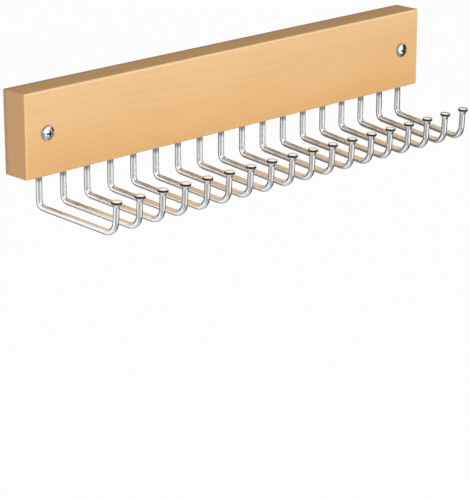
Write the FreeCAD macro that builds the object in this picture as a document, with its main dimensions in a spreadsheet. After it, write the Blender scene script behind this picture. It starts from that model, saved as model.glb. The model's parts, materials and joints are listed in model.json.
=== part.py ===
import FreeCAD, Part
import math
import os
import Sketcher

# A wall rack: a wooden bar, a row of bent-wire hooks that turn in blind holes in its underside,
# and two wall screws.
# The origin is the middle of the bar's back face. +X runs along the bar, the front faces -Y and +Z is up.

# Driving dimensions in millimetres, degrees and counts. Each becomes one named cell of the sheet.
DIMENSIONS = {
    # Bar. Its length follows from the hook row and the margin beyond the first and last hook.
    "bar_height": 50,
    "bar_thickness": 19,
    "end_margin": 12.85,
    "edge_easing": 0.8,
    # Hook row. The setback runs from the bar's front face back to the hooks' shanks. At rest the hooks stand
    # in an even fan: the end ones are turned inwards by the fan's angle and the middle ones point straight out.
    "hook_count": 18,
    "hook_pitch": 17.9,
    "hook_setback": 5,
    "hook_fan": 5,
    # Hook wire. The drop is from the bar's underside to the arm, and the reach from the shank to the head.
    "wire_diameter": 3.7,
    "arm_drop": 19,
    "arm_dip": 4.5,
    "rear_bend_radius": 3.8,
    "front_bend_radius": 7.5,
    "hook_reach": 60.5,
    "tip_rise": 12,
    "tip_lean": 4,
    # Head on the hook's upturned tip: a flare that ends in a thin disc.
    "flare_height": 2.4,
    "disc_thickness": 1,
    "head_diameter": 6.4,
    # Shank in its blind hole. A barbed ring near its top holds it in and lets it turn.
    "shank_embed": 15,
    "hole_end_room": 0.5,
    "barb_diameter": 4.5,
    "barb_length": 1.5,
    "barb_below_top": 3,
    "running_clearance": 0.05,
    # Wall screws, each through a clearance hole at half the bar's height. The plain shank goes through
    # the bar and the thread starts at its back face.
    "screw_inset": 16,
    "screw_shank_diameter": 3.6,
    "screw_thread_diameter": 4.2,
    "screw_length": 38,
    "screw_point": 6,
    "screw_hole_diameter": 4.6,
    "screw_seat_gap": 0.05,
    "screw_head_diameter": 9,
    "screw_head_height": 2.4,
    "screw_head_rounding": 1.8,
    "recess_span": 4.6,
    "recess_width": 1.1,
    "recess_depth": 1.5,
}

# Sizes that several sub-parts share, as formulas of the sheet's cells.
HALF_ROW = "(dims.hook_count - 1) * dims.hook_pitch / 2"
HALF_LENGTH = f"({HALF_ROW} + dims.end_margin)"
HALF_HEIGHT = "dims.bar_height / 2"
HOOK_DEPTH = "(dims.bar_thickness - dims.hook_setback)"
WIRE_RADIUS = "dims.wire_diameter / 2"
BARB_FOOT = "(dims.shank_embed - dims.barb_below_top - dims.barb_length)"
TIP_LEVEL = "(dims.arm_drop - dims.tip_rise)"
SCREW_X = f"({HALF_LENGTH} - dims.screw_inset)"

doc = FreeCAD.newDocument("wall_rack")
sheet = doc.addObject("Spreadsheet::Sheet", "dims")
for row, (alias, value) in enumerate(DIMENSIONS.items(), start=1):
    sheet.set(f"A{row}", alias)
    sheet.set(f"B{row}", str(value))
    sheet.setAlias(f"B{row}", alias)
doc.recompute()


def number(formula):
    """The value that a formula of the sheet's cells has now."""
    return float(sheet.evalExpression(formula))


def new_body(label):
    """An empty body under its sub-part's name."""
    body = doc.addObject("PartDesign::Body", label)
    body.Label = label
    return body


def origin_feature(body, role):
    """One of the body's own planes or axes, such as XY_Plane or X_Axis."""
    return next(feature for feature in body.Origin.OriginFeatures if feature.Role == role)


def place(thing, prefix, **formulas):
    """Ties the named coordinates of a placement to formulas."""
    for coordinate, formula in formulas.items():
        thing.setExpression(f"{prefix}.Base.{coordinate}", formula)


def new_sketch(body, name, plane, **offset):
    """A sketch on one of the body's origin planes, moved by formulas along the plane's own directions."""
    sketch = body.newObject("Sketcher::SketchObject", name)
    sketch.AttachmentSupport = [(origin_feature(body, plane), "")]
    sketch.MapMode = "FlatFace"
    place(sketch, "AttachmentOffset", **offset)
    return sketch


def size(sketch, formula, kind, *elements):
    """Adds a dimension to the sketch and ties it to a formula."""
    value = FreeCAD.Units.Quantity(number(formula), "deg") if kind == "Angle" else number(formula)
    index = sketch.addConstraint(Sketcher.Constraint(kind, *elements, value))
    sketch.setExpression(f"Constraints[{index}]", formula)


def tie_point(sketch, element, end, x, y):
    """Ties one point of the sketch to its two coordinates; a coordinate of 0 puts it on that axis."""
    for kind, axis, formula in (("DistanceX", -2, x), ("DistanceY", -1, y)):
        if formula == "0":
            sketch.addConstraint(Sketcher.Constraint("PointOnObject", element, end, axis))
        else:
            size(sketch, formula, kind, -1, 1, element, end)


def draw_outline(sketch, corners):
    """A closed outline of straight lines through corners that are given by formulas."""
    points = [FreeCAD.Vector(number(x), number(y)) for x, y in corners]
    for start, end in zip(points, points[1:] + points[:1]):
        sketch.addGeometry(Part.LineSegment(start, end))
    for line in range(len(points)):
        sketch.addConstraint(Sketcher.Constraint("Coincident", line, 2, (line + 1) % len(points), 1))
    for line, (x, y) in enumerate(corners):
        tie_point(sketch, line, 1, x, y)


def turn_profile(body, kind, name, sketch, axis):
    """A full turn of the sketch about one of its own axes, added or cut away."""
    feature = body.newObject(kind, name)
    feature.Profile = sketch
    feature.ReferenceAxis = (sketch, [axis])
    feature.Angle = 360
    doc.recompute()
    return feature


def make_bar():
    """The board with eased edges, its row of blind hook holes and its two screw holes."""
    body = new_body("bar")
    face = new_sketch(body, "bar_face", "XZ_Plane")
    draw_outline(face, [
        (f"-{HALF_LENGTH}", f"-{HALF_HEIGHT}"),
        (HALF_LENGTH, f"-{HALF_HEIGHT}"),
        (HALF_LENGTH, HALF_HEIGHT),
        (f"-{HALF_LENGTH}", HALF_HEIGHT),
    ])
    board = body.newObject("PartDesign::Pad", "board")
    board.Profile = face
    board.setExpression("Length", "dims.bar_thickness")
    doc.recompute()

    eased = body.newObject("PartDesign::Fillet", "eased_edges")
    eased.Base = (board, [f"Edge{index + 1}" for index in range(len(board.Shape.Edges))])
    eased.setExpression("Radius", "dims.edge_easing")
    doc.recompute()

    # The first hole's half section, from below the bar's underside to the hole's end, with the barb's groove.
    half_hole = new_sketch(
        body, "hook_hole_section", "YZ_Plane", x=f"-{HOOK_DEPTH}", y=f"-{HALF_HEIGHT}", z=f"-{HALF_ROW}")
    wall = f"({WIRE_RADIUS} + dims.running_clearance)"
    groove_wall = "(dims.barb_diameter / 2 + dims.running_clearance)"
    hole_end = "(dims.shank_embed + dims.hole_end_room)"
    draw_outline(half_hole, [
        ("0", "-dims.wire_diameter"),
        (wall, "-dims.wire_diameter"),
        (wall, f"{BARB_FOOT} - dims.running_clearance"),
        (groove_wall, f"{BARB_FOOT} - dims.running_clearance"),
        (groove_wall, f"{BARB_FOOT} + dims.running_clearance"),
        (wall, f"{BARB_FOOT} + dims.barb_length + dims.running_clearance"),
        (wall, hole_end),
        ("0", hole_end),
    ])
    first_hole = turn_profile(body, "PartDesign::Groove", "first_hook_hole", half_hole, "V_Axis")
    holes = body.newObject("PartDesign::LinearPattern", "hook_holes")
    holes.Originals = [first_hole]
    holes.Direction = (origin_feature(body, "X_Axis"), [""])
    holes.setExpression("Length", f"2 * {HALF_ROW}")
    holes.setExpression("Occurrences", "dims.hook_count")
    body.Tip = holes
    doc.recompute()

    drilled = new_sketch(body, "screw_hole_circles", "XZ_Plane")
    hole_radius = number("dims.screw_hole_diameter / 2")
    for circle, x in enumerate((f"-{SCREW_X}", SCREW_X)):
        centre = FreeCAD.Vector(number(x), 0)
        drilled.addGeometry(Part.Circle(centre, FreeCAD.Vector(0, 0, 1), hole_radius))
        tie_point(drilled, circle, 3, x, "0")
        size(drilled, "dims.screw_hole_diameter", "Diameter", circle)
    screw_holes = body.newObject("PartDesign::Pocket", "screw_holes")
    screw_holes.Profile = drilled
    screw_holes.Type = "ThroughAll"
    screw_holes.Reversed = True
    doc.recompute()
    return body


def draw_hook_line(sketch):
    """The wire's centre line: shank, rear bend, arm, front bend and upturned tip, each tangent to the next.

    It is drawn level and square, and its sizes then dip the arm and lean the tip.
    """
    rear, front = number("dims.rear_bend_radius"), number("dims.front_bend_radius")
    drop, reach = number("dims.arm_drop"), number("dims.hook_reach")
    quarter = math.pi / 2
    normal = FreeCAD.Vector(0, 0, 1)
    rear_centre = FreeCAD.Vector(-rear, rear - drop)
    front_centre = FreeCAD.Vector(front - reach, front - drop)
    shank, rear_bend, arm, front_bend, tip = sketch.addGeometry([
        Part.LineSegment(FreeCAD.Vector(0, number("dims.shank_embed")), FreeCAD.Vector(0, rear - drop)),
        Part.ArcOfCircle(Part.Circle(rear_centre, normal, rear), -quarter, 0),
        Part.LineSegment(FreeCAD.Vector(front - reach, -drop), FreeCAD.Vector(-rear, -drop)),
        Part.ArcOfCircle(Part.Circle(front_centre, normal, front), -2 * quarter, -quarter),
        Part.LineSegment(FreeCAD.Vector(-reach, front - drop), FreeCAD.Vector(-reach, -number(TIP_LEVEL))),
    ])
    sketch.addConstraint([
        Sketcher.Constraint("PointOnObject", shank, 1, -2),
        Sketcher.Constraint("PointOnObject", shank, 2, -2),
        Sketcher.Constraint("Tangent", shank, 2, rear_bend, 2),
        Sketcher.Constraint("Tangent", rear_bend, 1, arm, 2),
        Sketcher.Constraint("Tangent", arm, 1, front_bend, 2),
        Sketcher.Constraint("Tangent", front_bend, 1, tip, 1),
    ])
    size(sketch, "dims.shank_embed", "DistanceY", -1, 1, shank, 1)
    size(sketch, "dims.rear_bend_radius", "Radius", rear_bend)
    size(sketch, "dims.rear_bend_radius - dims.arm_drop", "DistanceY", -1, 1, rear_bend, 3)
    size(sketch, "dims.arm_dip", "Angle", arm)
    size(sketch, "dims.front_bend_radius", "Radius", front_bend)
    size(sketch, "90 + dims.tip_lean", "Angle", tip)
    tie_point(sketch, tip, 2, "-dims.hook_reach", f"-{TIP_LEVEL}")


def make_hook(index):
    """One hook of bent wire, with a barbed ring on its shank and a flared head on its tip."""
    body = new_body(f"hook_{index + 1:02d}")
    centre_line = new_sketch(body, "hook_line", "YZ_Plane")
    draw_hook_line(centre_line)
    section = new_sketch(body, "wire_section", "XY_Plane", z="dims.shank_embed")
    section.addGeometry(Part.Circle(FreeCAD.Vector(), FreeCAD.Vector(0, 0, 1), number(WIRE_RADIUS)))
    section.addConstraint(Sketcher.Constraint("Coincident", 0, 3, -1, 1))
    size(section, "dims.wire_diameter", "Diameter", 0)
    doc.recompute()
    wire = body.newObject("PartDesign::AdditivePipe", "bent_wire")
    wire.Profile = section
    wire.Spine = (centre_line, [f"Edge{edge + 1}" for edge in range(len(centre_line.Shape.Edges))])
    doc.recompute()

    barb = new_sketch(body, "barb_section", "YZ_Plane")
    draw_outline(barb, [
        ("0", BARB_FOOT),
        ("dims.barb_diameter / 2", BARB_FOOT),
        (WIRE_RADIUS, f"{BARB_FOOT} + dims.barb_length"),
        ("0", f"{BARB_FOOT} + dims.barb_length"),
    ])
    turn_profile(body, "PartDesign::Revolution", "barbed_ring", barb, "V_Axis")

    head = new_sketch(body, "head_section", "YZ_Plane", x="-dims.hook_reach", y=f"-{TIP_LEVEL}")
    head.setExpression("AttachmentOffset.Rotation.Angle", "dims.tip_lean")
    head_top = "dims.flare_height + dims.disc_thickness"
    draw_outline(head, [
        ("0", "0"),
        (WIRE_RADIUS, "0"),
        ("dims.head_diameter / 2", "dims.flare_height"),
        ("dims.head_diameter / 2", head_top),
        ("0", head_top),
    ])
    turn_profile(body, "PartDesign::Revolution", "flared_head", head, "V_Axis")
    along_row = f"{index} * dims.hook_pitch - {HALF_ROW}"
    place(body, "Placement", x=along_row, y=f"-{HOOK_DEPTH}", z=f"-{HALF_HEIGHT}")
    turned_inwards = f"dims.hook_fan * (1 - {2 * index} / (dims.hook_count - 1))"
    body.setExpression("Placement.Rotation.Angle", turned_inwards)
    return body


def make_screw(label, side):
    """A round-headed screw with a cross recess, seated on the bar's front face with its point behind it."""
    body = new_body(label)
    half_screw = new_sketch(body, "screw_section", "YZ_Plane")
    shank_radius, thread_radius = "dims.screw_shank_diameter / 2", "dims.screw_thread_diameter / 2"
    thread_start = "(dims.bar_thickness + dims.screw_seat_gap)"
    draw_outline(half_screw, [
        ("dims.screw_length", "0"),
        ("dims.screw_length - dims.screw_point", thread_radius),
        (thread_start, thread_radius),
        (thread_start, shank_radius),
        ("0", shank_radius),
        ("0", "dims.screw_head_diameter / 2"),
        ("-dims.screw_head_height", "dims.screw_head_diameter / 2"),
        ("-dims.screw_head_height", "0"),
    ])
    turned = turn_profile(body, "PartDesign::Revolution", "turned_screw", half_screw, "H_Axis")
    top = -number("dims.screw_head_height")
    rims = [
        f"Edge{index + 1}" for index, edge in enumerate(turned.Shape.Edges)
        if edge.BoundBox.YMax - top < Part.Precision.confusion() and edge.Closed
    ]
    rounded = body.newObject("PartDesign::Fillet", "rounded_head")
    rounded.Base = (turned, rims)
    rounded.setExpression("Radius", "dims.screw_head_rounding")
    doc.recompute()

    cross = new_sketch(body, "cross_outline", "XZ_Plane", z="dims.screw_head_height")
    near, far = "dims.recess_width / 2", "dims.recess_span / 2"
    draw_outline(cross, [
        (near, near), (near, far), (f"-{near}", far), (f"-{near}", near),
        (f"-{far}", near), (f"-{far}", f"-{near}"), (f"-{near}", f"-{near}"), (f"-{near}", f"-{far}"),
        (near, f"-{far}"), (near, f"-{near}"), (far, f"-{near}"), (far, near),
    ])
    recess = body.newObject("PartDesign::Pocket", "cross_recess")
    recess.Profile = cross
    recess.setExpression("Length", "dims.recess_depth")
    doc.recompute()
    place(body, "Placement", x=f"{side} * {SCREW_X}", y=f"-{thread_start}")
    return body


def check(bodies):
    """Stops unless every object computed and every sub-part is one valid solid."""
    failed = [thing.Label for thing in doc.Objects if {"Invalid", "Error"} & set(thing.State)]
    if failed:
        raise RuntimeError(f"these did not compute: {failed}")
    for body in bodies:
        shape = body.Shape
        if shape.isNull() or not shape.isValid() or len(shape.Solids) != 1:
            raise RuntimeError(f"{body.Label} is not one valid solid")


bodies = [make_bar()]
bodies += [make_hook(index) for index in range(int(sheet.hook_count))]
bodies += [make_screw("left_mounting_screw", -1), make_screw("right_mounting_screw", 1)]
doc.recompute()
check(bodies)

os.makedirs("parts", exist_ok=True)
for body in bodies:
    body.Shape.exportStep(f"parts/{body.Label}.step")
    box = body.Shape.BoundBox
    print(f"{body.Label}: {body.Shape.Volume:.1f} mm3, x {box.XMin:.2f} to {box.XMax:.2f},"
          f" y {box.YMin:.2f} to {box.YMax:.2f}, z {box.ZMin:.2f} to {box.ZMax:.2f}")
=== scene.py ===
import json
import math

import bpy
import numpy as np
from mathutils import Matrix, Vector


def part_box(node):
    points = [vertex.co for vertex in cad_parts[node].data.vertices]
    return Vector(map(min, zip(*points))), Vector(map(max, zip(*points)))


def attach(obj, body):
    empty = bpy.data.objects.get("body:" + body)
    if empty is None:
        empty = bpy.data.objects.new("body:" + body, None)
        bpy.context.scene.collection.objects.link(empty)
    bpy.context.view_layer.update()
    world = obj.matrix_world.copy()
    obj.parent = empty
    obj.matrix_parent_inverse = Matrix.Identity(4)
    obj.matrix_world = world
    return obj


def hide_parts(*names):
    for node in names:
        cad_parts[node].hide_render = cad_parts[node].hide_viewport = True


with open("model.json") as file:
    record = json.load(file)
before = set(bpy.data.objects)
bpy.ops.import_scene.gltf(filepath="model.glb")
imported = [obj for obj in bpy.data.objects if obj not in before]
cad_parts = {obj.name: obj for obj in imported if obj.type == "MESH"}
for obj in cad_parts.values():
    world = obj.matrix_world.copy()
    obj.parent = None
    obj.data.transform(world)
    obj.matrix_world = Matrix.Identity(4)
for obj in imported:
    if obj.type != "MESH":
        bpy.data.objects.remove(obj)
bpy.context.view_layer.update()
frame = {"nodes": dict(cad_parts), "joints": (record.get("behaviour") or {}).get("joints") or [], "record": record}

# The looks of a wall rack: a lacquered wooden bar, a row of chromed wire hooks and two round-headed screws.
# Sizes and places are in metres in the frame's axes: +X along the bar, the front faces -Y, +Z is up.

BAR_LOW, BAR_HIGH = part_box("bar")

# Bar. Its edges are eased to a small round.
EDGE_EASING = 0.0008

# Hook row. At rest the end hooks are turned inwards by the fan's angle and the middle ones hardly at all.
HALF_ROW = 0.15215
HOOK_FAN = math.radians(5)

# Hook wire. A heading is the angle that the wire has turned from straight down, in radians.
WIRE_RADIUS = 0.00185
SHANK_EMBED = 0.015
ARM_DROP = 0.019
HOOK_REACH = 0.0605
TIP_RISE = 0.012
REAR_BEND = 0.0038
FRONT_BEND = 0.0075
ARM_HEADING = math.radians(90 - 4.5)
TIP_HEADING = math.radians(180 - 4)

# Barbed ring near the top of the shank, inside the bar.
BARB_RADIUS = 0.00225
BARB_LENGTH = 0.0015
BARB_BELOW_TOP = 0.003
END_BREAK = 0.0004
BARB_STEP = END_BREAK / 8

# Flared head on the tip: a flare, then a disc with a tapered rim and a domed top.
FLARE_HEIGHT = 0.0021
FLARE_RADIUS = 0.0029
FLARE_CURVE = 1.3
DISC_RADIUS = 0.0032
RIM_HEIGHT = 0.0012
RIM_TAPER = 0.00015
DISC_STEP = END_BREAK / 10
DOME_SLOPE = math.radians(26)
DOME_RADIUS = (DISC_RADIUS - RIM_TAPER) / math.sin(DOME_SLOPE)
DOME_HEIGHT = DOME_RADIUS * (1 - math.cos(DOME_SLOPE))

# Screws: a domed head with a cross recess, a plain shank through the bar, then the thread and the point.
HEAD_RADIUS = 0.0045
HEAD_HEIGHT = 0.0024
HEAD_RIM = 0.0005
HEAD_FULLNESS = 2.1
SEAT_GAP = 0.00005
SEAT_STEP = END_BREAK / 20
SHANK_RADIUS = 0.0018
THREAD_RADIUS = 0.0021
THREAD_ROOT = 0.0014
THREAD_PITCH = 0.0018
THREAD_CREST = 0.45
THREAD_SHADE = 0.3
POINT_CURVE = 0.8
SCREW_LENGTH = 0.038
SCREW_POINT = 0.006
RECESS_SPAN = 0.0046
RECESS_WIDTH = 0.0011
RECESS_DEPTH = 0.0015
RECESS_FLOOR = 0.6

# How finely the curved surfaces are divided.
WIRE_SIDES = 40
RUN_STEPS = 24
FLARE_STEPS = 10
DISC_STEPS = 14
DOME_STEPS = 16
THREAD_STEPS = 14
SHARP_EDGE = math.radians(32)

# Beech. A pattern's size is the lengths along X, Y and Z over which it repeats, and its edge is the pair of
# values at which it begins to show and shows fully. Colours are linear.
PITH_Y = 0.075
PITH_Z = 0.095
RING_WIDTH = 0.0031
RING_SWAY = 0.012
SWAY_SIZE = (0.16, 0.05, 0.05)
RING_DRIFT = 1.3
RING_DRIFT_SIZE = (0.3, 0.011, 0.011)
LATE_WOOD_RISE = (0.35, 0.93)
LATE_WOOD_FALL = (1.0, 0.95)
FIBRE_SIZE = (0.030, 0.0009, 0.0009)
FIBRE_EDGE = (0.42, 0.75)
CLOUD_SIZE = (0.110, 0.022, 0.022)
FLECK_SIZE = (0.0056, 0.00125, 0.00125)
FLECK_EDGE = (0.26, 0.10)
FLECK_PATCH_SIZE = (0.05, 0.012, 0.012)
FLECK_PATCH_EDGE = (0.38, 0.62)
STREAK_SIZE = (0.024, 0.0048, 0.0048)
STREAK_EDGE = (0.40, 0.68)
PORE_SIZE = (0.004, 0.00035, 0.00035)
PORE_EDGE = (0.56, 0.70)
WOOD_ROUGHNESS = 0.42
WOOD_RELIEF = 0.00002
PALE_BEECH = (0.88, 0.575, 0.29, 1)
WARM_BEECH = (0.82, 0.46, 0.185, 1)
STREAK_BROWN = (0.68, 0.38, 0.14, 1)
FIBRE_BROWN = (0.66, 0.34, 0.13, 1)
LATE_WOOD_BROWN = (0.60, 0.29, 0.11, 1)
FLECK_BROWN = (0.44, 0.205, 0.075, 1)
END_GRAIN = (0.72, 0.415, 0.20, 1)
END_LATE_WOOD = (0.55, 0.28, 0.12, 1)
PORE_BROWN = (0.40, 0.19, 0.08, 1)
# Painted highlight on the front face's eased top and end edges.
PAINTED_HIGHLIGHT_BEECH = (0.98, 0.69, 0.39, 1)
# Painted shade along the bar's edges at the back.
PAINTED_BACK_EDGE_SHADE = (0.36, 0.30, 0.23, 1)

# Depths in from the bar's faces at which painted edge highlight and back-edge shade begin, and show fully.
END_EDGE_HIGHLIGHT = (0.0014, 0.0006)
TOP_EDGE_HIGHLIGHT = (0.0018, 0.0008)
BACK_EDGE_SHADE_DEPTH = (0.0045, 0.0015)

# Chrome on the wire. A pattern's size is its lengths across the unbent wire, both ways, and along it.
DRAW_LINE_SIZE = (0.0006, 0.0006, 0.05)
HAZE_SIZE = (0.004, 0.004, 0.012)
HAZE_EDGE = (0.45, 0.8)
SCUFF_SIZE = (0.006, 0.006, 0.0012)
SCUFF_EDGE = (0.2, 0.7)
SCUFF_FADE = 0.006
# Lengths below the bar's underside at which the painted shade on the shank shows fully, and where it ends.
HOLE_SHADE_START = 0.0022
HOLE_SHADE_END = 0.0048
CHROME_ROUGHNESS = 0.16
DRAW_LINE_RELIEF = 0.0000005
GREY_CHROME = (0.85, 0.855, 0.855, 1)
BRIGHT_CHROME = (0.92, 0.92, 0.915, 1)
RUBBED_CHROME = (0.70, 0.70, 0.70, 1)
SHADED_CHROME = (0.20, 0.19, 0.17, 1)
# Painted dark reflection on the rim of the head's disc.
PAINTED_DARK_RIM = (0.05, 0.05, 0.048, 1)

# Plating on the screws.
TURNING_RING = 0.00028
WEAR_SIZE = (0.0012, 0.0012, 0.0012)
SHANK_FADE = 0.001
RECESS_SHADE_FULL = 0.6
# Painted shade round the edge of the screw head.
RIM_INSIDE = HEAD_RADIUS * 0.84
RIM_OUTSIDE = HEAD_RADIUS * 0.98
PLATING_ROUGHNESS = 0.15
PLATING_RELIEF = 0.0000015
GREY_PLATING = (0.80, 0.805, 0.81, 1)
BRIGHT_PLATING = (0.90, 0.90, 0.90, 1)
DULL_PLATING = (0.62, 0.61, 0.59, 1)
PAINTED_RIM_SHADE = (0.16, 0.15, 0.14, 1)
# Painted shade in the cross recess and the thread's roots.
PAINTED_RECESS_SHADE = (0.05, 0.05, 0.05, 1)


class Shade:
    """One output of a node tree. Arithmetic on it adds Math nodes to the same tree."""

    def __init__(self, tree, socket=None):
        self.tree = tree
        self.socket = socket

    def node(self, kind, settings=None, sockets=None, output=0):
        """Adds any node: its type, its settings, which are set first, then its sockets' values or links."""
        made = self.tree.nodes.new(kind)
        for name, value in (settings or {}).items():
            setattr(made, name, value)
        for key, value in (sockets or {}).items():
            if isinstance(value, Shade):
                self.tree.links.new(value.socket, made.inputs[key])
            else:
                made.inputs[key].default_value = value
        return Shade(self.tree, made.outputs[output] if len(made.outputs) else None)

    def math(self, operation, *others):
        """A Math node on this value and any others."""
        return self.node("ShaderNodeMath", {"operation": operation}, dict(enumerate((self, *others))))

    def step(self, low, high):
        """0 below low, 1 above high and a smooth rise between; low may be the larger one."""
        return self.node("ShaderNodeMapRange", {"interpolation_type": "SMOOTHSTEP"},
                         {"Value": self, "From Min": low, "From Max": high})

    def mix(self, first, second):
        """The first colour where this value is 0 and the second where it is 1."""
        return self.node("ShaderNodeMix", {"data_type": "RGBA"}, {0: self, 6: first, 7: second}, output=2)

    def under(self, cover, colour, share):
        """This colour under another one, which hides the given share of it where cover is 1."""
        return (cover * share).mix(self, colour)

    def stretched(self, *lengths):
        """These coordinates divided by a length for each axis, over which a pattern then repeats."""
        scale = tuple(1 / length for length in lengths)
        return self.node("ShaderNodeVectorMath", {"operation": "MULTIPLY"}, {0: self, 1: scale})

    def noise(self, detail=2.0, roughness=0.5):
        """Soft noise from 0 to 1 at these coordinates, about one lump to each unit."""
        return self.node("ShaderNodeTexNoise", {}, {
            "Vector": self, "Scale": 1.0, "Detail": detail, "Roughness": roughness,
        })

    def axes(self):
        """The three numbers of a vector."""
        split = self.node("ShaderNodeSeparateXYZ", {}, {0: self}).socket.node
        return [Shade(self.tree, output) for output in split.outputs]

    def __add__(self, other):
        return self.math("ADD", other)

    def __sub__(self, other):
        return self.math("SUBTRACT", other)

    def __rsub__(self, other):
        return self * -1 + other

    def __mul__(self, other):
        return self.math("MULTIPLY", other)

    def __truediv__(self, other):
        return self.math("DIVIDE", other)

    def __pow__(self, other):
        return self.math("POWER", other)

    def __abs__(self):
        return self.math("ABSOLUTE")

    __radd__ = __add__
    __rmul__ = __mul__


def new_finish(name):
    """An empty material and the start of its node tree."""
    finish = bpy.data.materials.new(name)
    finish.use_nodes = True
    finish.node_tree.nodes.clear()
    return finish, Shade(finish.node_tree)


def end_finish(start, sockets, relief, relief_height):
    """Ends a finish in a Principled shader, with the relief as a bump of the given height in metres."""
    bump = start.node("ShaderNodeBump", {}, {"Height": relief, "Distance": relief_height, "Strength": 1.0})
    surface = start.node("ShaderNodeBsdfPrincipled", {}, {**sockets, "Normal": bump})
    start.node("ShaderNodeOutputMaterial", {}, {"Surface": surface})


def lacquered_beech():
    """Steamed beech under clear satin lacquer.

    Growth rings are cylinders about a pith line beside the board, and fibres, ray flecks and drifts of
    tone run along X. The top and underside are cut the other way and warmer, and paler towards the front,
    and the end faces cut across the rings, darker because end grain drinks more lacquer. The front is
    painted paler towards its top and warmer towards its bottom, a painted light and sheen. The front's top
    and end edges carry a painted highlight, and a painted shade darkens the edges along the back.
    """
    finish, start = new_finish("lacquered_beech")
    place = start.node("ShaderNodeTexCoord", output="Object")
    x, y, z = place.axes()

    sway = place.stretched(*SWAY_SIZE).noise(detail=1.0) * RING_SWAY
    from_pith = ((y - PITH_Y + sway) ** 2 + (z - PITH_Z + sway) ** 2) ** 0.5
    drift = place.stretched(*RING_DRIFT_SIZE).noise() * RING_DRIFT
    ring = (from_pith / RING_WIDTH + drift).math("FRACT")
    late_wood = ring.step(*LATE_WOOD_RISE) * ring.step(*LATE_WOOD_FALL)

    fibres = place.stretched(*FIBRE_SIZE).noise(detail=3.0, roughness=0.62)
    clouds = place.stretched(*CLOUD_SIZE).noise()
    fleck_cell = place.stretched(*FLECK_SIZE)
    fleck_distance = fleck_cell.node("ShaderNodeTexVoronoi", {}, {"Vector": fleck_cell, "Scale": 1.0})
    fleck_patches = place.stretched(*FLECK_PATCH_SIZE).noise(detail=1.0).step(*FLECK_PATCH_EDGE)
    flecks = fleck_distance.step(*FLECK_EDGE) * fleck_patches

    middle, half = (BAR_LOW + BAR_HIGH) / 2, (BAR_HIGH - BAR_LOW) / 2
    inward = [extent - abs(at - centre) for at, centre, extent in zip((x, y, z), middle, half)]
    near_x, near_y, near_z = [depth.step(EDGE_EASING * 0.9, EDGE_EASING * 0.2) for depth in inward]
    to_front = y.step(BAR_HIGH.y, BAR_LOW.y)
    # Painted highlight: the front face's top and end edges are painted paler.
    highlit_edges = (inward[0].step(*END_EDGE_HIGHLIGHT) * 0.7).math("MAXIMUM", (BAR_HIGH.z - z).step(*TOP_EDGE_HIGHLIGHT))
    rub_and_highlight = near_y * to_front * highlit_edges
    # Painted shade: the edges along the back are painted darker and greyer.
    back_edge_shade = near_x.math("MAXIMUM", near_z) * (BAR_HIGH.y - y).step(*BACK_EDGE_SHADE_DEPTH)
    across_grain = inward[0].step(EDGE_EASING, EDGE_EASING / 4)
    height = (z - BAR_LOW.z) / (BAR_HIGH.z - BAR_LOW.z)

    other_cut = inward[2].step(EDGE_EASING, EDGE_EASING / 4)
    # Painted light and sheen: the front is painted paler towards its top and warmer towards its bottom; the top
    # and underside are warmer, and paler towards the front.
    warmth_and_painted_light = (1 - height) * 0.75 + other_cut * (1 - to_front * 0.35) + (clouds - 0.5) * 0.7 + 0.1
    tone = warmth_and_painted_light.step(0.0, 1.0).mix(PALE_BEECH, WARM_BEECH)
    streaks = place.stretched(*STREAK_SIZE).noise(roughness=0.6)
    tone = tone.under(other_cut * streaks.step(*STREAK_EDGE), STREAK_BROWN, share=0.30)
    tone = tone.under(fibres.step(*FIBRE_EDGE), FIBRE_BROWN, share=0.10)
    tone = tone.under(late_wood, LATE_WOOD_BROWN, share=0.07)
    tone = tone.under(flecks, FLECK_BROWN, share=0.14)
    pores = place.stretched(*PORE_SIZE).noise(detail=1.0).step(*PORE_EDGE)
    end_tone = (late_wood * 0.22).mix(END_GRAIN, END_LATE_WOOD)
    end_tone = end_tone.under(pores, PORE_BROWN, share=0.20)
    colour = across_grain.mix(tone, end_tone)
    # The painted highlight on the front's top and end edges.
    colour = colour.under(rub_and_highlight, PAINTED_HIGHLIGHT_BEECH, share=0.8)
    # The painted shade along the back edges.
    colour = colour.under(back_edge_shade, PAINTED_BACK_EDGE_SHADE, share=0.6)

    roughness = WOOD_ROUGHNESS + fibres * 0.12 + across_grain * 0.12
    relief = fibres * 0.5 - flecks * 0.4 - late_wood * 0.25
    end_finish(start, {
        "Base Color": colour, "Roughness": roughness, "Specular IOR Level": 0.1,
        "Coat Weight": 0.08 - across_grain * 0.04, "Coat Roughness": 0.25, "Coat IOR": 1.46,
    }, relief, WOOD_RELIEF)
    return finish


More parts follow.
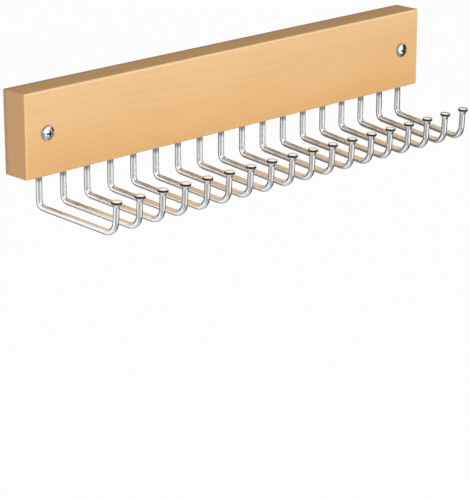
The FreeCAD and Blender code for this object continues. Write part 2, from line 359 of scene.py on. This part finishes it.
def drawn_chrome():
    """Bright chrome on drawn wire.

    Draw lines run along the unbent wire, whose coordinates each hook carries, and the arm's top is rubbed
    a little duller by what slides over it, in fine marks across the wire. A painted shade darkens the shank
    where it leaves its hole, and the rim of the head's disc is painted dark, a painted dark reflection.
    """
    finish, start = new_finish("drawn_chrome")
    lay = start.node("ShaderNodeAttribute", {"attribute_name": "unbent"}, output="Vector")
    normal, along = lay.axes()[1:]
    arm_start, arm_end, head_foot = wire_runs()[0][[2, 3, 5]]
    on_arm = along.step(arm_start, arm_start + SCUFF_FADE) * along.step(arm_end, arm_end - SCUFF_FADE)
    on_top = normal.step(-WIRE_RADIUS / 2, -WIRE_RADIUS)
    scuffs = lay.stretched(*SCUFF_SIZE).noise(detail=1.0).step(*SCUFF_EDGE)
    rub_and_highlight = on_arm * on_top * scuffs

    # The disc's rim is painted dark: a painted dark reflection.
    under, rim_edge = head_foot + FLARE_HEIGHT, RIM_HEIGHT / 10
    on_rim = along.step(under, under + rim_edge)
    on_rim *= along.step(under + RIM_HEIGHT + rim_edge, under + RIM_HEIGHT)

    draw_lines = lay.stretched(*DRAW_LINE_SIZE).noise(roughness=0.6)
    haze = lay.stretched(*HAZE_SIZE).noise()
    tint = haze.mix(GREY_CHROME, BRIGHT_CHROME)
    tint = tint.under(rub_and_highlight, RUBBED_CHROME, share=0.5)
    # Painted shade on the shank just below the bar.
    at_hole = along.step(SHANK_EMBED + HOLE_SHADE_END, SHANK_EMBED + HOLE_SHADE_START)
    tint = tint.under(at_hole, SHADED_CHROME, share=0.75)
    tint = on_rim.mix(tint, PAINTED_DARK_RIM)
    roughness = CHROME_ROUGHNESS + draw_lines * 0.03 + haze.step(*HAZE_EDGE) * 0.03
    roughness = roughness + rub_and_highlight * 0.22 + on_rim * 0.15
    sockets = {"Base Color": tint, "Metallic": 1.0, "Roughness": roughness}
    end_finish(start, sockets, draw_lines, DRAW_LINE_RELIEF)
    return finish


def plated_screw():
    """Bright plating on a turned screw: faint turning rings, a painted shade on the rim, in the recess and in the
    thread's roots, and a duller shank.
    """
    finish, start = new_finish("plated_screw")
    turned = start.node("ShaderNodeAttribute", {"attribute_name": "turned"}, output="Vector")
    radius, along, hollow = turned.axes()
    rings = (radius * (2 * math.pi / TURNING_RING)).math("SINE")
    behind = along.step(0, SHANK_FADE)
    place = start.node("ShaderNodeTexCoord", output="Object")
    wear = place.stretched(*WEAR_SIZE).noise(detail=3.0, roughness=0.6)
    tint = wear.mix(GREY_PLATING, BRIGHT_PLATING)
    tint = tint.under(behind, DULL_PLATING, share=0.4)
    # Painted shade round the head's rim.
    tint = tint.under(radius.step(RIM_INSIDE, RIM_OUTSIDE), PAINTED_RIM_SHADE, share=0.6)
    # Painted shade in the cross recess and in the thread's roots.
    tint = tint.under(hollow.step(0.0, RECESS_SHADE_FULL), PAINTED_RECESS_SHADE, share=0.95)
    roughness = PLATING_ROUGHNESS + wear * 0.08 + behind * 0.1 + hollow * 0.2
    relief = rings * 0.2 + wear
    sockets = {"Base Color": tint, "Metallic": 1.0, "Roughness": roughness}
    end_finish(start, sockets, relief, PLATING_RELIEF)
    return finish


def quads(numbers, closed):
    """Faces between neighbouring rows and columns of a grid of vertex numbers.

    A closed grid also joins its last column to its first.
    """
    if closed:
        numbers = np.hstack([numbers, numbers[:, :1]])
    corners = (numbers[:-1, :-1], numbers[1:, :-1], numbers[1:, 1:], numbers[:-1, 1:])
    return np.stack(corners, axis=-1).reshape(-1, 4).tolist()


def fan(ring, pole, at_start):
    """Triangles that close the first or last ring of a tube to one point."""
    points = np.full_like(ring, pole)
    following = np.roll(ring, -1)
    corners = (points, ring, following) if at_start else (ring, points, following)
    return np.stack(corners, axis=-1).tolist()


def add_piece(name, points, faces, mark, marks, finish, body, node):
    """Makes a smooth piece in place, with its own coordinates for its finish, and hangs it on its body."""
    mesh = bpy.data.meshes.new(name)
    mesh.from_pydata(points.tolist(), [], faces)
    mesh.shade_smooth()
    mesh.set_sharp_from_angle(angle=SHARP_EDGE)
    attribute = mesh.attributes.new(mark, "FLOAT_VECTOR", "POINT")
    attribute.data.foreach_set("vector", marks.astype(np.float32).ravel())
    mesh.materials.append(finish)
    piece = bpy.data.objects.new(name, mesh)
    bpy.context.scene.collection.objects.link(piece)
    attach(piece, body)
    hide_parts(node)


def direction(heading):
    """The wire's direction (y, z) in its upright plane: down at 0 and forward at a right angle."""
    return np.stack([-np.sin(heading), -np.cos(heading)], axis=-1)


def bend_chord(radius, start, end):
    """From one end of a bend to the other: 2 R times the sine of half the turn, on the mean heading."""
    return 2 * radius * math.sin((end - start) / 2) * direction((start + end) / 2)


def wire_runs():
    """Lengths along the wire at which its five runs end, and the headings there.

    The runs are the shank, the rear bend, the arm, the front bend and the tip. The arm and the tip have the
    lengths that take the wire to the head's foot, two equations in two unknowns.
    """
    shank = SHANK_EMBED + ARM_DROP - REAR_BEND
    head_foot = np.array([-HOOK_REACH, TIP_RISE - ARM_DROP])
    bends = bend_chord(REAR_BEND, 0, ARM_HEADING) + bend_chord(FRONT_BEND, ARM_HEADING, TIP_HEADING)
    left_over = head_foot - np.array([0, SHANK_EMBED - shank]) - bends
    ways = np.stack([direction(ARM_HEADING), direction(TIP_HEADING)], axis=1)
    arm, tip = np.linalg.solve(ways, left_over)
    rear_bend, front_bend = REAR_BEND * ARM_HEADING, FRONT_BEND * (TIP_HEADING - ARM_HEADING)
    ends = np.cumsum([0, shank, rear_bend, arm, front_bend, tip])
    return ends, np.array([0, 0, ARM_HEADING, ARM_HEADING, TIP_HEADING, TIP_HEADING])


def wire_profile(head_foot):
    """Radius of the hook against length along it: broken end, barbed ring, wire, flare and disc.

    The flare's radius grows as a power of its height. The disc's rim tapers, and its top is the cap of a
    sphere: at a slope s its radius is R sin s and it stands R (cos s - cos of the slope at its edge) above
    the rim.
    """
    barb_foot = BARB_BELOW_TOP + BARB_LENGTH
    shank = [
        (0, WIRE_RADIUS - END_BREAK), (END_BREAK, WIRE_RADIUS), (BARB_BELOW_TOP, WIRE_RADIUS),
        (barb_foot, BARB_RADIUS), (barb_foot + BARB_STEP, WIRE_RADIUS),
    ]
    rise = np.linspace(0, 1, FLARE_STEPS)
    flare = np.column_stack([
        head_foot + FLARE_HEIGHT * rise, WIRE_RADIUS + (FLARE_RADIUS - WIRE_RADIUS) * rise ** FLARE_CURVE])
    under = head_foot + FLARE_HEIGHT
    slope = np.linspace(DOME_SLOPE, 0, DISC_STEPS)[:-1]
    rise = DOME_RADIUS * (np.cos(slope) - math.cos(DOME_SLOPE))
    dome = np.column_stack([under + RIM_HEIGHT + rise, DOME_RADIUS * np.sin(slope)])
    return np.vstack([shank, flare, [(under + DISC_STEP, DISC_RADIUS)], dome])


def hook_surface():
    """One hook about its own swivel point: a circle carried along the bent wire, its radius the profile's.

    The heading is linear in length along each run, so a step between two stations is a chord: its length
    times sin(t/2)/(t/2), for a turn of t, along the mean heading. A point is the centre plus the radius
    times (cos a, sin a) on the X axis and on the in-plane normal. Its unbent place is (radius cos a,
    radius sin a, length along the wire).
    """
    ends, end_headings = wire_runs()
    profile = wire_profile(ends[-1])
    runs = [np.linspace(start, end, RUN_STEPS) for start, end in zip(ends[:-1], ends[1:])]
    stations = np.unique(np.round(np.concatenate([profile[:, 0], *runs]), 8))
    headings = np.interp(stations, ends, end_headings)
    radii = np.interp(stations, profile[:, 0], profile[:, 1])

    turns = np.diff(headings)
    chord_lengths = np.diff(stations) * np.sinc(turns / 2 / math.pi)
    chords = chord_lengths[:, None] * direction(headings[:-1] + turns / 2)
    centres = np.vstack([[0, 0], np.cumsum(chords, axis=0)]) + [0, SHANK_EMBED]

    angle = np.linspace(0, 2 * math.pi, WIRE_SIDES, endpoint=False)
    across, normal = radii[:, None] * np.cos(angle), radii[:, None] * np.sin(angle)
    y = centres[:, :1] + normal * np.cos(headings)[:, None]
    z = centres[:, 1:] - normal * np.sin(headings)[:, None]
    skin = np.stack([across, y, z], axis=-1).reshape(-1, 3)
    lengths = np.broadcast_to(stations[:, None], across.shape)
    unbent = np.stack([across, normal, lengths], axis=-1).reshape(-1, 3)

    head_top = ends[-1] + FLARE_HEIGHT + RIM_HEIGHT + DOME_HEIGHT
    dome_top = centres[-1] + direction(headings[-1]) * (head_top - stations[-1])
    poles = np.array([[0, *centres[0]], [0, *dome_top]])
    points = np.vstack([skin, poles])
    marks = np.vstack([unbent, [[0, 0, 0], [0, 0, head_top]]])
    numbers = np.arange(len(skin)).reshape(len(stations), WIRE_SIDES)
    faces = quads(numbers, closed=True)
    faces += fan(numbers[0], len(skin), at_start=True) + fan(numbers[-1], len(skin) + 1, at_start=False)
    return points, faces, marks


def turned(points, angle):
    """Points turned about the upright axis through the origin, anticlockwise as seen from above."""
    cos, sin = math.cos(angle), math.sin(angle)
    return points @ np.array([[cos, sin, 0], [-sin, cos, 0], [0, 0, 1]])


def recess_depth(u, v):
    """How deep the cross recess is at a point of the head's square grid, from 0 to 1.

    Each wing is a ramp along its length times a ramp across its width, both flat from the floor's edge
    inwards, and the cross is the deeper of the two wings.
    """
    width, span = RECESS_WIDTH / 2 / HEAD_RADIUS, RECESS_SPAN / 2 / HEAD_RADIUS

    def wing(along, across):
        ramp_along = np.clip((span - abs(along)) / (span * (1 - RECESS_FLOOR)), 0, 1)
        ramp_across = np.clip((width - abs(across)) / (width * (1 - RECESS_FLOOR)), 0, 1)
        return ramp_along * ramp_across

    return np.maximum(wing(u, v), wing(v, u))


def screw_surface():
    """One screw about the middle of its seat: a domed head on a square grid, then rings down to the point.

    The head's grid (u, v) goes to the disc by x = R u sqrt(1 - v^2/2), z = R v sqrt(1 - u^2/2), with grid
    lines on the recess's edges, and its height is that of a superellipse less the recess. The rings start
    from the grid's edge. The thread is a ridge where length/pitch less the angle's share of a turn is near
    a whole number.
    """
    width, span = RECESS_WIDTH / 2 / HEAD_RADIUS, RECESS_SPAN / 2 / HEAD_RADIUS
    inner = [0, width * RECESS_FLOOR, width, (width + span * RECESS_FLOOR) / 2, span * RECESS_FLOOR, span]
    outer = np.sin(np.linspace(math.asin(span), math.pi / 2, DOME_STEPS))[1:]
    half_line = np.concatenate([inner, outer])
    line = np.concatenate([-half_line[:0:-1], half_line])
    u, v = np.meshgrid(line, line, indexing="ij")
    x, z = u * np.sqrt(1 - v ** 2 / 2), v * np.sqrt(1 - u ** 2 / 2)
    reach = np.clip(np.hypot(x, z), 0, 1)
    dome = HEAD_RIM + (HEAD_HEIGHT - HEAD_RIM) * (1 - reach ** HEAD_FULLNESS) ** (1 / HEAD_FULLNESS)
    hollow = recess_depth(u, v)
    depth = -(dome - RECESS_DEPTH * hollow)
    cap = np.stack([HEAD_RADIUS * x, depth, HEAD_RADIUS * z], axis=-1)
    cap_marks = np.stack([HEAD_RADIUS * reach, depth, hollow], axis=-1)

    numbers = np.arange(u.size).reshape(u.shape)
    edge = np.concatenate([numbers[:-1, 0], numbers[-1, :-1], numbers[:0:-1, -1], numbers[0, :0:-1]])
    edge_points = cap.reshape(-1, 3)[edge]
    angle = np.arctan2(edge_points[:, 2], edge_points[:, 0])

    thread_start = BAR_HIGH.y - BAR_LOW.y + SEAT_GAP
    turns = (SCREW_LENGTH - thread_start) / THREAD_PITCH
    threaded = np.linspace(thread_start, SCREW_LENGTH, int(turns * THREAD_STEPS))[1:-1]
    plain = np.array([
        0, SEAT_STEP, END_BREAK, thread_start / 2, thread_start - END_BREAK, thread_start])
    plain_radii = np.array([HEAD_RADIUS - END_BREAK / 2, SHANK_RADIUS + END_BREAK / 2, *[SHANK_RADIUS] * 4])
    along = np.concatenate([[-END_BREAK / 2], plain, threaded])[:, None]

    taper = np.clip((SCREW_LENGTH - threaded) / SCREW_POINT, 0, 1)[:, None]
    run_in = np.clip((threaded - thread_start) / THREAD_PITCH, 0, 1)[:, None]
    phase = threaded[:, None] / THREAD_PITCH - angle / (2 * math.pi)
    ridge = np.clip(1 - abs(phase - np.round(phase)) / (THREAD_CREST / 2), 0, 1)
    root = SHANK_RADIUS + (THREAD_ROOT - SHANK_RADIUS) * run_in
    thread_radii = (root + (THREAD_RADIUS - root) * ridge * run_in) * taper ** POINT_CURVE
    radii = np.vstack([np.full((1, angle.size), HEAD_RADIUS),
                       np.broadcast_to(plain_radii[:, None], (plain.size, angle.size)), thread_radii])
    along = np.broadcast_to(along, radii.shape)
    rings = np.stack([radii * np.cos(angle), along, radii * np.sin(angle)], axis=-1)
    # The thread's roots get a share of the recess's painted shade.
    ring_hollow = np.vstack([np.zeros((1 + plain.size, angle.size)), (1 - ridge) * THREAD_SHADE])
    ring_marks = np.stack([radii, along, ring_hollow], axis=-1)

    points = np.vstack([cap.reshape(-1, 3), rings.reshape(-1, 3), [[0, SCREW_LENGTH, 0]]])
    marks = np.vstack([cap_marks.reshape(-1, 3), ring_marks.reshape(-1, 3), [[0, SCREW_LENGTH, 0]]])
    ring_numbers = u.size + np.arange(radii.size).reshape(radii.shape)
    faces = quads(numbers, closed=False) + quads(np.vstack([edge, ring_numbers]), closed=True)
    faces += fan(ring_numbers[-1], len(points) - 1, at_start=False)
    return points, faces, marks


def dress_rack():
    """Gives the bar its wood, and each hook and screw its smooth chromed piece at its own joint."""
    bar = frame["nodes"]["bar"].data
    bar.materials.clear()
    bar.materials.append(lacquered_beech())
    hook, screw = hook_surface(), screw_surface()
    chrome, plating = drawn_chrome(), plated_screw()
    nodes_of = frame["record"]["behaviour"]["bodies"]
    for joint in frame["joints"]:
        body = joint["child"]
        node = nodes_of[body][0]
        pivot = np.array(joint["pos_m"])
        if node.startswith("hook"):
            points, faces, marks = hook
            points = turned(points, -HOOK_FAN * pivot[0] / HALF_ROW) + pivot
            name, slot = f"chromed_{node}", "hook_chrome"
            add_piece(name, points, faces, "unbent", marks, chrome, body, node)
        else:
            points, faces, marks = screw
            seat = pivot - [0, SEAT_GAP, 0]
            name, slot = f"plated_{node}", "screw_chrome"
            add_piece(name, points + seat, faces, "turned", marks, plating, body, node)


# Camera. Its angles are in degrees and its focal length in pixels of a frame whose longer side is given.
CAMERA_PLACE = (-0.9152, -0.9551, 0.3231)
CAMERA_YAW = 44.28
CAMERA_PITCH = 17.99
FOCAL_PIXELS = 2218.8
FRAME_PIXELS = 497

# Studio. Bearings are in degrees from straight in front of the bar, positive towards +X.
MIDDLE = Vector((0, -0.03, -0.01))
FLOOR_LEVEL = -1.1
FLOOR_SIZE = 30
FLOOR_WHITE = (0.92, 0.92, 0.92, 1)
FLOOR_GLOW = 0.965
FLOOR_IN_METAL = 0.4
DAYLIGHT = 0.45
AIR_WHITE = (1, 1, 1, 1)
AIR_OVERHEAD = (0.80, 0.79, 0.79, 1)
HORIZON = (0.06, 0.26)

# Lamps: bearing, width and watts.
LAMP_DISTANCE = 1.5
LAMP_RAISE = 0.15
LAMP_HEIGHT = 1.6
LAMPS = {
    "front_panel": (1, 1.4, 17.5),
    "left_panel": (-96, 1.3, 8.3),
}

# Cards that only the metal's reflections see: bearings, angles of height and brightness.
CARD_DISTANCE = 1.0
CARD_STEPS = 24
CARDS = {
    "right_flag": ((45, 118), (-42, 24), 0.03),
    "far_flag": ((118, 165), (-62, -2), 0.2),
    "under_flag": ((-180, 180), (-89, -64), 0.65),
    "back_flag": ((165, 226), (-34, 4), 0.1),
    "arm_flag": ((165, 226), (-54, -34), 0.22),
    "left_card": ((-134, -79), (-50, 4), 1.0),
    "low_flag": ((-79, -15), (-50, 4), 0.45),
    "front_card": ((-15, 45), (-27, 60), 1.0),
    "foot_card": ((-15, 45), (-42, -27), 0.4),
    "low_front_flag": ((8, 118), (-66, -42), 0.12),
    "behind_flag": ((118, 165), (5, 28), 0.05),
    "top_card": ((100, 180), (30, 90), 1.0),
}


def seen_directly(start, in_metal=1.0):
    """1 for rays that show the studio, 0 for rays that light the rack, a given share for mirrored rays."""
    path = start.node("ShaderNodeLightPath").socket.node
    names = ("Is Camera Ray", "Is Glossy Ray", "Is Transmission Ray")
    camera, glossy, through = [Shade(start.tree, path.outputs[name]) for name in names]
    return camera.math("MAXIMUM", glossy * in_metal).math("MAXIMUM", through)


def light_panel(name, bearing, width, watts):
    """A soft rectangular lamp that faces the rack."""
    lamp = bpy.data.lights.new(name, "AREA")
    lamp.shape = "RECTANGLE"
    lamp.size = width
    lamp.size_y = LAMP_HEIGHT
    lamp.energy = watts
    panel = bpy.data.objects.new(name, lamp)
    turn = math.radians(bearing)
    outward = Vector((math.sin(turn) * LAMP_DISTANCE, -math.cos(turn) * LAMP_DISTANCE, LAMP_RAISE))
    panel.location = MIDDLE + outward
    panel.rotation_euler = (MIDDLE - panel.location).to_track_quat("-Z", "Y").to_euler()
    panel.visible_camera = False
    bpy.context.scene.collection.objects.link(panel)


def stage_piece(name, points, faces, finish):
    """A piece of the studio, which isn't part of the rack."""
    mesh = bpy.data.meshes.new(name)
    mesh.from_pydata(points, [], faces)
    mesh.materials.append(finish)
    piece = bpy.data.objects.new(name, mesh)
    bpy.context.scene.collection.objects.link(piece)
    return piece


def reflected_card(name, bearings, heights, brightness):
    """A curved card that only reflections see, so that it gives the metal its bands and lights nothing.

    It is a patch of a sphere round the rack, between two bearings and two angles of height, in degrees.
    """
    turns = np.radians(np.linspace(*bearings, CARD_STEPS))
    tilts = np.radians(np.linspace(*heights, CARD_STEPS))
    turn, tilt = np.meshgrid(turns, tilts, indexing="ij")
    outward = np.stack([np.sin(turn) * np.cos(tilt), -np.cos(turn) * np.cos(tilt), np.sin(tilt)], axis=-1)
    points = np.array(MIDDLE) + CARD_DISTANCE * outward.reshape(-1, 3)
    finish, start = new_finish(name)
    shown = start.node("ShaderNodeEmission", {}, {"Color": (brightness, brightness, brightness, 1)})
    start.node("ShaderNodeOutputMaterial", {}, {"Surface": shown})
    faces = quads(np.arange(turn.size).reshape(turn.shape), closed=False)
    card = stage_piece(name, points.tolist(), faces, finish)
    for ray in ("camera", "diffuse", "transmission", "volume_scatter", "shadow"):
        setattr(card, f"visible_{ray}", False)


def pale_floor():
    """A plain white floor well below the rack that shows white and still takes its shadow."""
    half = FLOOR_SIZE / 2
    corners = [(x, y, FLOOR_LEVEL) for x, y in ((-half, -half), (half, -half), (half, half), (-half, half))]
    finish, start = new_finish("pale_floor")
    matte = start.node("ShaderNodeBsdfDiffuse", {}, {"Color": FLOOR_WHITE})
    glow = start.node("ShaderNodeEmission", {}, {"Color": AIR_WHITE})
    glowing = seen_directly(start, FLOOR_IN_METAL) * FLOOR_GLOW
    shown = start.node("ShaderNodeMixShader", {}, {0: glowing, 1: matte, 2: glow})
    start.node("ShaderNodeOutputMaterial", {}, {"Surface": shown})
    stage_piece("floor", corners, [(0, 1, 2, 3)], finish)


def studio_air():
    """Even light from all round: white at the horizon and a little greyer overhead."""
    world = bpy.data.worlds.new("studio_air")
    world.use_nodes = True
    world.node_tree.nodes.clear()
    start = Shade(world.node_tree)
    up = start.node("ShaderNodeTexCoord", output="Generated").axes()[2]
    colour = up.step(*HORIZON).mix(AIR_WHITE, AIR_OVERHEAD)
    strength = DAYLIGHT + seen_directly(start) * (1 - DAYLIGHT)
    background = start.node("ShaderNodeBackground", {}, {"Color": colour, "Strength": strength})
    start.node("ShaderNodeOutputWorld", {}, {"Surface": background})
    bpy.context.scene.world = world


def place_camera():
    """A long lens that looks down on the rack from its left front."""
    lens = bpy.data.cameras.new("camera")
    lens.lens = FOCAL_PIXELS / FRAME_PIXELS * lens.sensor_width
    camera = bpy.data.objects.new("camera", lens)
    camera.location = CAMERA_PLACE
    camera.rotation_euler = (math.radians(90 - CAMERA_PITCH), 0, math.radians(-CAMERA_YAW))
    bpy.context.scene.collection.objects.link(camera)
    bpy.context.scene.camera = camera


def set_stage():
    """Floor, air, lamps, reflected cards and camera."""
    pale_floor()
    studio_air()
    for name, (bearing, width, watts) in LAMPS.items():
        light_panel(name, bearing, width, watts)
    for name, (bearings, heights, brightness) in CARDS.items():
        reflected_card(name, bearings, heights, brightness)
    place_camera()
    bpy.context.scene.view_settings.view_transform = "Standard"


dress_rack()
set_stage()
